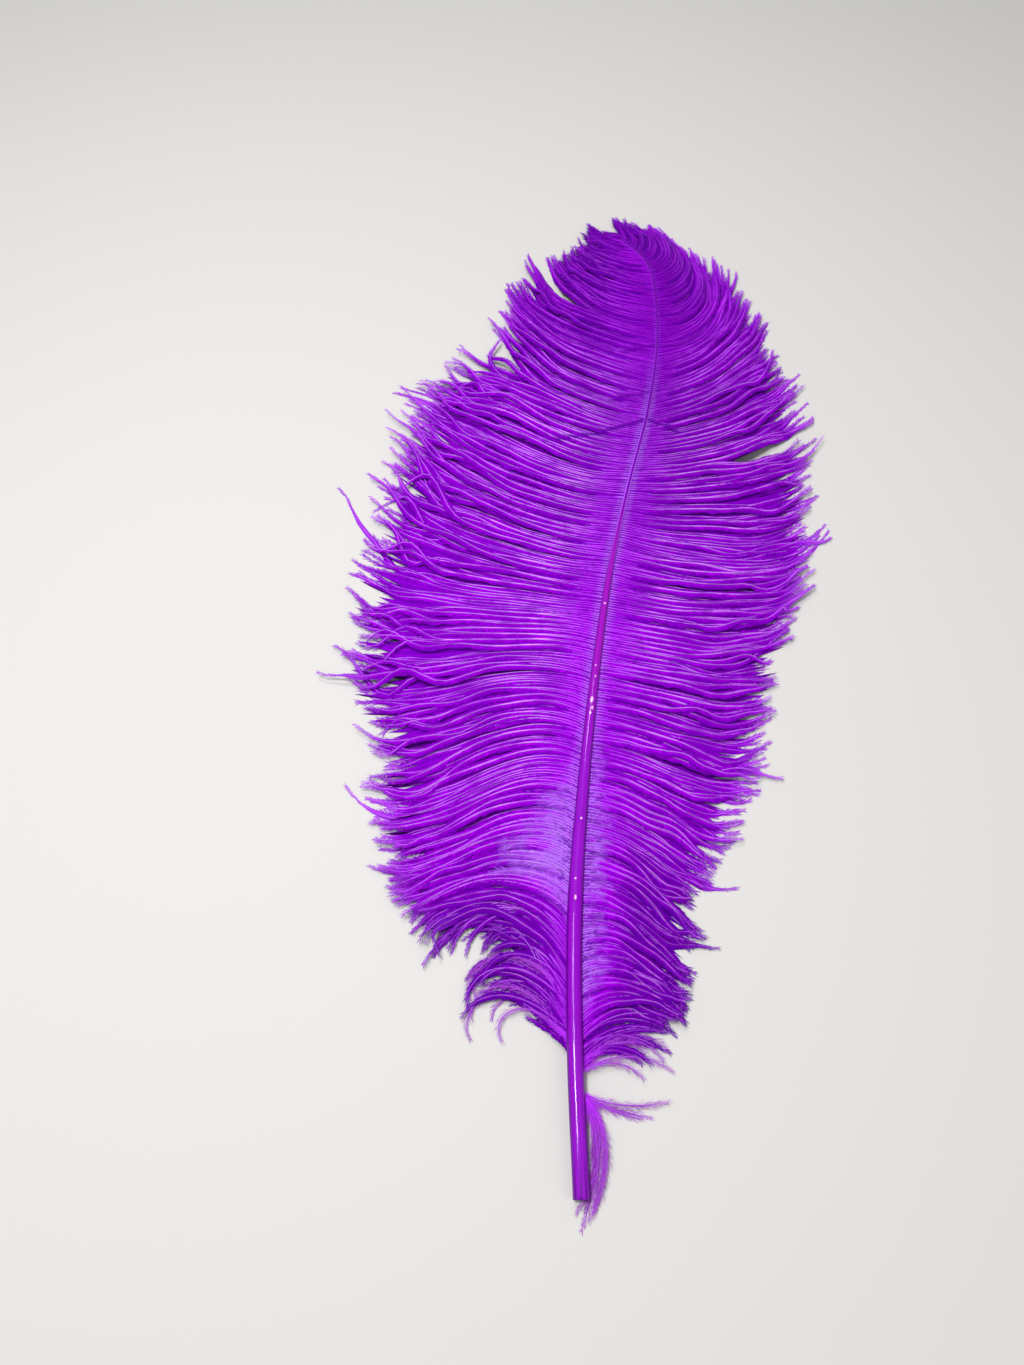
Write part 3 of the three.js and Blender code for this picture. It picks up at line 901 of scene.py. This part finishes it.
def barb_material(name, band, shaded_creases, shaded_patches):
    """Silky dyed barbs: stalks with a painted highlight, and barbules in painted shade at their ends.

    The band is a paler combed strip beside the shaft, bare barb bases with a painted sheen:
    the places on the shaft between which it is broad, how broad, and how much paler. Creases are
    thin dark lines of painted shade: place on the shaft, how fast they run back along the barbs,
    how far out they reach, and how dark. Patches of painted shade lie between two places on the
    shaft and two distances from it."""
    material, shader, start = new_material(name)
    along, far, aside, place, chance = start.kept("along", "far", "aside", "place", "chance")

    def streaks(across, lengthwise, seed, detail):
        vector = {0: place * across, 1: far * lengthwise, 2: chance * 0.8 + seed}
        combed = start.node("ShaderNodeCombineXYZ", {}, vector)
        sockets = {"Vector": combed, "Scale": 1.0, "Detail": detail}
        return start.node("ShaderNodeTexNoise", {}, sockets)

    patches = streaks(90.0, 0.05, 0.0, 3.0)
    fine = streaks(420.0, 0.13, 7.0, 2.0)
    # Painted light in patches that run along the barbs.
    lit = (patches * 0.6 + fine * 0.4).rises(0.38, 0.62)
    # Stalks are pale lines of painted highlight, mostly in the painted lit patches and on loose barbs.
    shining = lit.most(chance.rises(0.84, 0.9))
    line = (1.0 - aside.rises(0.0, 0.17)) * (0.45 + shining * 0.75)
    line = line * (1.0 - place.rises(0.62, 0.82) * 0.84) * (0.2 + far.rises(5.0, 36.0) * 0.8)
    line = line * (0.7 + place.rises(0.25, 0.32) * 0.3)
    colour = line.chooses(SILK_COLOUR, STALK_HIGHLIGHT_COLOUR)
    # Barbules take painted shade towards their ends, and all takes painted shade outside the painted
    # lit patches.
    colour = (aside.rises(0.25, 0.9) * 0.92).chooses(colour, SHADED_COLOUR)
    darker = (1.0 - lit) * (0.5 + far.rises(4.0, 20.0) * 0.5)
    colour = (darker * 0.45).chooses(colour, SHADED_COLOUR)
    # The combed strip, pale barb bases with a painted sheen, has a ragged outer edge. Halfway up, a
    # pale rim follows the shaft.
    low, high, breadth, strength = band
    started = place.rises(low - 0.02, low + 0.02)
    wide = (1.0 - place.rises(high - 0.05, high + 0.06)) * started
    beside = far / (4.5 - place.rises(0.35, 0.8) * 2.5 + wide * breadth)
    ragged = ((patches - 0.5) * 2.2 + (fine - 0.5) * 2.4) * (0.4 + wide * 0.6)
    pale = (1.0 - (beside + ragged).rises(0.3, 1.3)) * (0.55 + wide * strength)
    pale = pale * (1.0 - place.rises(0.38, 0.66) * 0.85) * (0.15 + started * 0.85)
    rim = (1.0 - far.rises(1.5, 4.5)) * (1.0 - place.rises(0.68, 0.8)) * place.rises(0.3, 0.4)
    pale = pale.most(rim * 0.6)
    gaps = aside.rises(0.2, 0.75) * (0.95 - far.rises(2.0, 10.0) * 0.25)
    colour = (pale * (1.0 - gaps)).chooses(colour, BAND_SHEEN_COLOUR)
    # Dark ticks of painted shade part the barbs close to the shaft.
    ticks = streaks(700.0, 0.22, 3.0, 1.0).rises(0.53, 0.66)
    ticks = ticks * (1.0 - far.rises(5.0, 15.0)) * far.rises(0.6, 2.0)
    colour = (ticks * (0.42 + wide * 0.25)).chooses(colour, SHADED_COLOUR)
    # The upper half is darker near the shaft, in painted shade, and the ends of the barbs are paler
    # fuzz.
    upper_shade = place.rises(0.4, 0.66) * (1.0 - far.rises(20.0, 70.0))
    colour = (upper_shade * 0.3).chooses(colour, DEEP_SHADE_COLOUR)
    fuzz = along.rises(0.84, 1.03) * aside.rises(0.1, 0.5)
    colour = (fuzz * 0.5).chooses(colour, FUZZ_COLOUR)
    # Painted shade along thin creases across the barbs.
    for leaves, slope, reaches, depth in shaded_creases:
        crossed = abs(along - (leaves - place) / slope + (fine - 0.5) * 0.008)
        crease_shade = (1.0 - crossed.rises(0.008, 0.026)) * (1.0 - along.rises(reaches - 0.1, reaches))
        colour = (crease_shade * depth).chooses(colour, SHADED_COLOUR)
    # Patches of painted shade where the vane slopes away from the light and round the drooping tip.
    for first, last, near, out, depth in shaded_patches:
        lengthwise = place.rises(first - 0.05, first + 0.05)
        lengthwise = lengthwise * (1.0 - place.rises(last - 0.05, last + 0.05))
        sideways = far.rises(near - 9.0, near + 9.0)
        sideways = sideways * (1.0 - far.rises(out - 12.0, out + 12.0))
        depth = depth * (0.28 + aside.rises(0.1, 0.6) * 0.72)
        colour = (lengthwise * sideways * depth).chooses(colour, DEEP_SHADE_COLOUR)
    feed(shader, "Base Color", colour)
    feed(shader, "Roughness", 0.45 + aside * 0.25)
    set_all_over(shader, SILK_GLOSS)
    return material


def add_vane(name, side, barbs, partings, tangles, strays, loose_share, seed, pieces, material):
    """A vane in a few pieces from the quill to the tip, each under its limit of faces."""
    rng = np.random.default_rng(seed)
    surface = vane_surface(side, barbs)
    lines, along, at, loose = barb_lines(surface, rng, partings, tangles, strays, loose_share)
    # A sheet in painted shade under the barbs.
    points, faces, values, chart = shaded_under_sheet_mesh(surface, rng, partings)
    add_piece(f"{name}_shaded_sheet", points, faces, values, material, chart)
    stretch = len(at) // pieces // 2 * 2
    for number in range(pieces):
        start = number * stretch
        stop = start + stretch if number < pieces - 1 else len(at)
        part = slice(start, stop)
        barbs_there = (lines[part], along[part], at[part], loose[part])
        points, faces, values, chart = barb_mesh(*barbs_there, rng, VANE_LOOKS)
        add_piece(f"{name}_{number + 1}", points, faces, values, material, chart)


# Where barbs cross and curl: share of the shaft, share of the barb from which they do, how
# long a stretch of the shaft, and how far they swing in millimetres. Strays: share of the
# shaft, the barb's length beside its neighbours', and how far its end swings.
RIGHT_TANGLES = [(0.36, 0.75, 0.05, 2.0), (0.22, 0.7, 0.05, 1.6), (0.12, 0.5, 0.03, 2.0)]
RIGHT_STRAYS = [
    (0.548, 1.19, -26),
    (0.53, 1.15, -4),
    (0.346, 1.17, -12),
    (0.265, 1.14, 4),
    (0.207, 1.13, 10),
]
RIGHT_SHEEN_BAND = (0.12, 0.3, 6.0, 0.25)
# Creases across the barbs, drawn in painted shade.
RIGHT_SHADED_CREASES = [(0.69, 0.12, 0.26, 0.85), (0.728, 0.03, 0.24, 0.6), (0.796, 0.06, 0.3, 0.55)]
# Patches of painted shade: first and last place on the shaft, nearest and farthest distance from it,
# and how dark.
RIGHT_SHADED_PATCHES = [
    (0.0, 0.27, 20, 200, 0.85),
    (0.82, 1.2, -20, 60, 0.5),
    (0.7, 1.2, -20, 14, 0.5),
]
right_material = barb_material(
    "dyed barbs of the right vane", RIGHT_SHEEN_BAND, RIGHT_SHADED_CREASES, RIGHT_SHADED_PATCHES
)
add_vane(
    "right_vane",
    side=1,
    barbs=RIGHT_BARBS,
    partings=RIGHT_PARTINGS,
    tangles=RIGHT_TANGLES,
    strays=RIGHT_STRAYS,
    loose_share=0.05,
    seed=11,
    pieces=3,
    material=right_material,
)


# Left vane: the same barbs on the other side of the shaft, longer, and hooked downwards near
# the quill. Its rows are read as those of the right vane.
LEFT_BARBS = [
    (0.1, 46, 40, 28, 55),
    (0.125, 58, 36, 36, 100),
    (0.15, 74, 30, 66, 165),
    (0.175, 86, 22, 88, 145),
    (0.2, 88, 34, 102, 112),
    (0.25, 98, 47, 118, 80),
    (0.31, 107, 58, 120, 75),
    (0.36, 122, 58, 112, 85),
    (0.42, 140, 75, 98, 62),
    (0.5, 150, 92, 70, 60),
    (0.57, 154, 98, 64, 62),
    (0.61, 151, 100, 64, 76),
    (0.65, 148, 98, 65, 88),
    (0.68, 138, 91, 60, 68),
    (0.7, 128, 86, 53, 45),
    (0.77, 130, 78, 50, 32),
    (0.83, 112, 80, 40, 15),
    (0.88, 87, 77, 41, 7),
    (0.94, 53, 63, 29, 17),
    (1, 30, 45, 11, 7),
]
LEFT_PARTINGS = [(0.69, 0.7, 7.5), (0.821, 0.42, 7.5), (0.585, 0.8, 2.0), (0.36, 0.82, 2.2)]
LEFT_TANGLES = [
    (0.51, 0.68, 0.05, 9.0),
    (0.41, 0.66, 0.045, 8.0),
    (0.64, 0.64, 0.038, 6.5),
    (0.33, 0.74, 0.03, 5.5),
    (0.125, 0.45, 0.03, 4.0),
]
LEFT_STRAYS = [(0.575, 1.14, -2), (0.47, 1.15, 8), (0.4, 1.17, -6), (0.3, 1.14, 6)]
LEFT_SHEEN_BAND = (0.19, 0.27, 25.0, 0.4)
# Creases across the barbs, drawn in painted shade, as on the right vane.
LEFT_SHADED_CREASES = [(0.69, 0.16, 0.4, 0.9), (0.728, 0.12, 0.26, 0.65), (0.796, 0.12, 0.32, 0.6)]
# Patches of painted shade, given as for the right vane.
LEFT_SHADED_PATCHES = [
    (0.8, 1.2, -20, 60, 0.45),
    (0.7, 1.2, -20, 14, 0.6),
    (0.7, 1.2, 30, 100, 0.35),
    (0.0, 0.165, -20, 200, 0.8),
    (0.74, 1.2, 40, 200, 0.4),
    (0.0, 0.2, 30, 200, 0.4),
]
left_material = barb_material("dyed barbs of the left vane", LEFT_SHEEN_BAND, LEFT_SHADED_CREASES, LEFT_SHADED_PATCHES)
add_vane(
    "left_vane",
    side=-1,
    barbs=LEFT_BARBS,
    partings=LEFT_PARTINGS,
    tangles=LEFT_TANGLES,
    strays=LEFT_STRAYS,
    loose_share=0.15,
    seed=23,
    pieces=4,
    material=left_material,
)


# Downy wisps: the loose barbs at the foot of both vanes and round the tip. They grew from the
# sides of the shaft as the others did, but stand apart and curl, with finer barbules.

# Each row is a fan: side, where it leaves, its length and three headings, how many barbs are
# in it, how far their headings differ in degrees, and how long a stretch of shaft they take.
WISPS = [
    (1, 0.083, 46, 47, 72, 152, 3, 3, 0.006),
    (1, 0.08, 43, 58, 88, 138, 2, 3, 0.004),
    (1, 0.07, 39, 128, 106, 104, 3, 5, 0.003),
    (1, 0.069, 63, 124, 181, 206, 4, 4, 0.003),
    (1, 0.069, 56, 138, 184, 196, 3, 5, 0.003),
    (1, 0.069, 36, 108, 172, 212, 3, 6, 0.003),
    (-1, 0.101, 62, 46, 68, 205, 4, 4, 0.004),
    (-1, 0.126, 84, 36, 72, 202, 2, 2, 0.004),
]

# Curled barbs at the foot and round the tip, given in the same way and coloured as the left vane, with
# its painted highlights and shade.
CURLED = [
    (1, 0.088, 44, 38, 76, 122, 8, 6, 0.02),
    (1, 0.1, 46, 36, 82, 124, 8, 8, 0.02),
    (-1, 0.096, 30, 20, 28, 50, 8, 10, 0.02),
    (-1, 0.102, 42, 34, 34, 60, 10, 13, 0.02),
    (-1, 0.108, 50, 38, 40, 90, 10, 15, 0.02),
    (-1, 0.116, 55, 38, 46, 120, 10, 15, 0.02),
    (-1, 0.126, 62, 36, 52, 150, 10, 14, 0.02),
    (-1, 0.138, 72, 30, 64, 175, 9, 11, 0.016),
    (-1, 0.16, 82, 26, 82, 160, 8, 11, 0.02),
    (-1, 0.176, 86, 24, 92, 150, 8, 10, 0.02),
    (1, 0.992, 26, 34, 8, -10, 9, 16, 0.014),
    (-1, 0.992, 28, 30, 10, 4, 9, 16, 0.014),
]
WISP_LOOKS = dict(
    VANE_LOOKS, stalk=0.45, felt=0.3, spacing=0.5, length=4.2, width=0.18, droop=12, unruly=22
)
CURLED_LOOKS = dict(VANE_LOOKS, felt=1.4, length=4.0, unruly=20)
WISPS_SEED = 37
# Loose ones take the paler fuzz, and on the curled barbs the painted highlight of loose stalks.
LOOSE_WISPS = 0.3  # share of them that is dyed as loose barbs are
RESTING_HEIGHTS = (0.5, 3.0)
DOWN_COLOUR = rgb(0.37, 0.05, 0.52)


def wisp_lines(rows, rng):
    """Lines of fans of loose barbs, each from its own place on the shaft."""
    every = []
    for side, leaves, length, leave, middle, end, count, spread, stretch in rows:
        at = np.clip(leaves + rng.uniform(-0.5, 0.5, count) * stretch, 0, 1)
        share = (np.arange(BARB_STEPS) + 0.5)[None] / BARB_STEPS
        tilt = rng.normal(0, spread, (count, 1)) * (0.5 + share)
        curl = rng.normal(0, 1.6 * spread, (count, 1)) * share**2
        turn = barb_turn(leave, middle, end, share) + tilt + curl
        reach = length * rng.uniform(0.72, 1.08, (count, 1))
        level = walk(at, side, turn, reach / BARB_STEPS)
        out = np.linspace(0, 1, BARB_STEPS + 1)[None]
        fallen = np.clip(out * rng.uniform(1.0, 1.5, (count, 1)), 0, 1) ** DROOP_POWER
        rests = rng.uniform(*RESTING_HEIGHTS, (count, 1))
        root = on_shaft(at)[:, 2:] * 0.9
        height = root + (rests - root) * fallen
        height = height + rng.normal(0, 0.5, (count, 1)) * smooth(0.1, 0.6, out)
        height = np.maximum(height, LOWEST + 0.2)
        every.append((np.concatenate([level, height[..., None]], -1), at))
    lines = np.concatenate([fan for fan, _ in every])
    at = np.concatenate([leaves for _, leaves in every])
    even = len(at) // 2 * 2
    along = np.repeat(np.linspace(0.02, 1, BARB_STEPS + 1)[None], even, axis=0)
    return lines[:even], along, at[:even], rng.uniform(0, 1, even) < LOOSE_WISPS


def down_material():
    """Paler, thinner dyed down, duller where it is finest, with painted shade towards the ends of its
    barbules.
    """
    material, shader, start = new_material("dyed down")
    along, aside, chance = start.kept("along", "aside", "chance")
    colour = aside.rises(0.0, 0.5).chooses(FUZZ_COLOUR, DOWN_COLOUR)
    colour = (aside.rises(0.5, 1.0) * 0.5).chooses(colour, SHADED_COLOUR)
    colour = ((1.0 - along.rises(0.1, 0.5)) * 0.7).chooses(colour, SILK_COLOUR)
    feed(shader, "Base Color", (chance * 0.3).chooses(colour, FUZZ_COLOUR))
    feed(shader, "Roughness", 0.5 + aside * 0.2)
    set_all_over(shader, SILK_GLOSS)
    return material


rng = np.random.default_rng(WISPS_SEED)
points, faces, values, chart = barb_mesh(*wisp_lines(WISPS, rng), rng, WISP_LOOKS)
add_piece("wisps", points, faces, values, down_material(), chart)
points, faces, values, chart = barb_mesh(*wisp_lines(CURLED, rng), rng, CURLED_LOOKS)
add_piece("curled_barbs", points, faces, values, left_material, chart)
